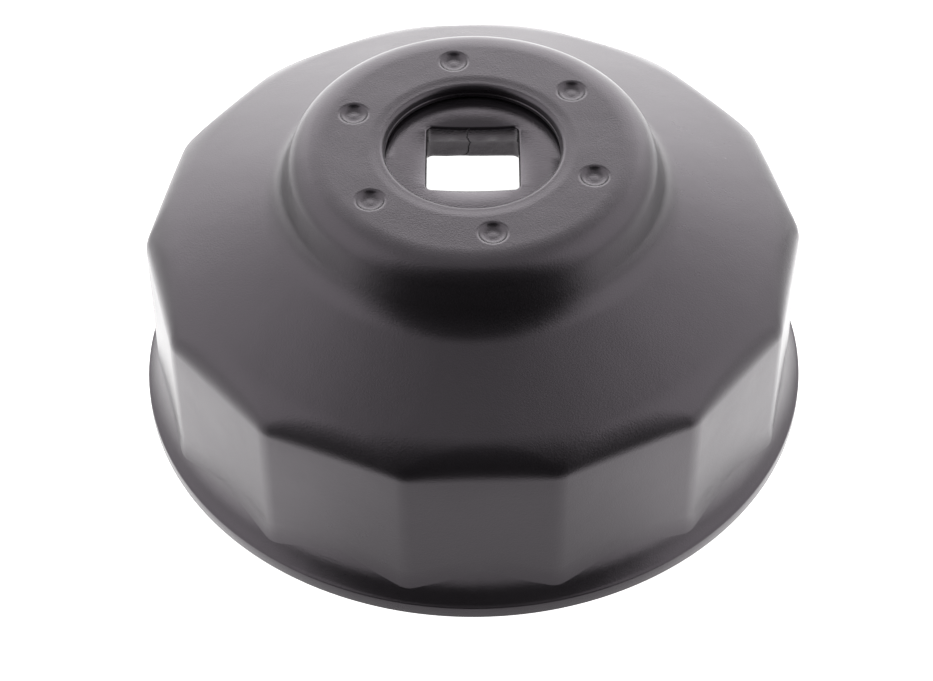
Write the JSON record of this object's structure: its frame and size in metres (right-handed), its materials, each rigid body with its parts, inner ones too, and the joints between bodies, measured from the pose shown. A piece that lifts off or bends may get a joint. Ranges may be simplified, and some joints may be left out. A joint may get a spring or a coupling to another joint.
{
  "type": "oil filter wrench",
  "caption": "Cap type oil filter wrench: pressed steel cup with a many-sided skirt, flared mouth, raised boss and a welded square-drive plate.",
  "frame": {"origin": "centre of the rim's lower face, where the open end rests on a bench", "axes": "+Z along the tool's axis towards the closed, drive end; the square drive hole's sides lie along X and Y"},
  "size_m": [0.074, 0.074, 0.0337],
  "materials": {
    "cap_black": "satin black coating with a fine grain",
    "plate_black": "satin black coating, a little glossier than the cap",
    "weld_steel": "bare fused steel"
  },
  "bodies": {
    "root": {"cap_shell": "cap_black", "drive_plate": "plate_black", "weld_nugget_1": "weld_steel", "weld_nugget_2": "weld_steel", "weld_nugget_3": "weld_steel", "weld_nugget_4": "weld_steel", "weld_nugget_5": "weld_steel", "weld_nugget_6": "weld_steel"}
  },
  "joints": []
}
